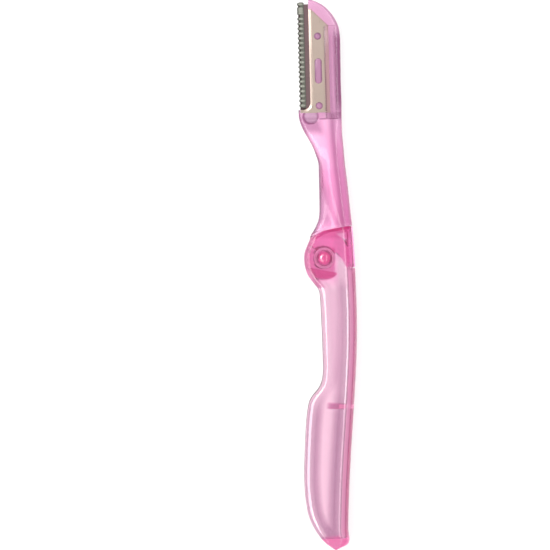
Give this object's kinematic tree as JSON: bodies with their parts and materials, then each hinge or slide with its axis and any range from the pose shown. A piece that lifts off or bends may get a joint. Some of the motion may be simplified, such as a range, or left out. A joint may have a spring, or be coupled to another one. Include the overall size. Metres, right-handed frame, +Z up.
{
  "type": "eyebrow razor",
  "caption": "Folding eyebrow razor with a guarded blade on an arm that swings out of a clear pink handle.",
  "frame": {"origin": "middle of the opened razor's outline, on the surface that the rear cheek lies on", "axes": "+Z up out of the front cheek, +Y from the handle's tip to the blade arm's top, -X the way the cutting edge faces"},
  "size_m": [0.017, 0.1538, 0.0076],
  "materials": {
    "clear_pink": "clear moulded",
    "pin_pink": "clear moulded",
    "clip_steel": "satin",
    "blade_steel": "ground",
    "comb_grey": "satin"
  },
  "bodies": {
    "handle": {"handle_shell": "clear_pink", "hinge_pin": "pin_pink", "pin_cap": "pin_pink"},
    "arm": {"arm_body": "clear_pink", "head_cover": "clear_pink", "blade_clip": "clip_steel", "blade": "blade_steel", "comb_guard": "comb_grey"}
  },
  "joints": [
    {"name": "fold", "type": "hinge", "parent": "handle", "child": "arm", "pos_m": [-0.0008, 0.00455, 0.0038], "axis": [0, 0, 1], "range_deg": [0, 175.5]}
  ]
}
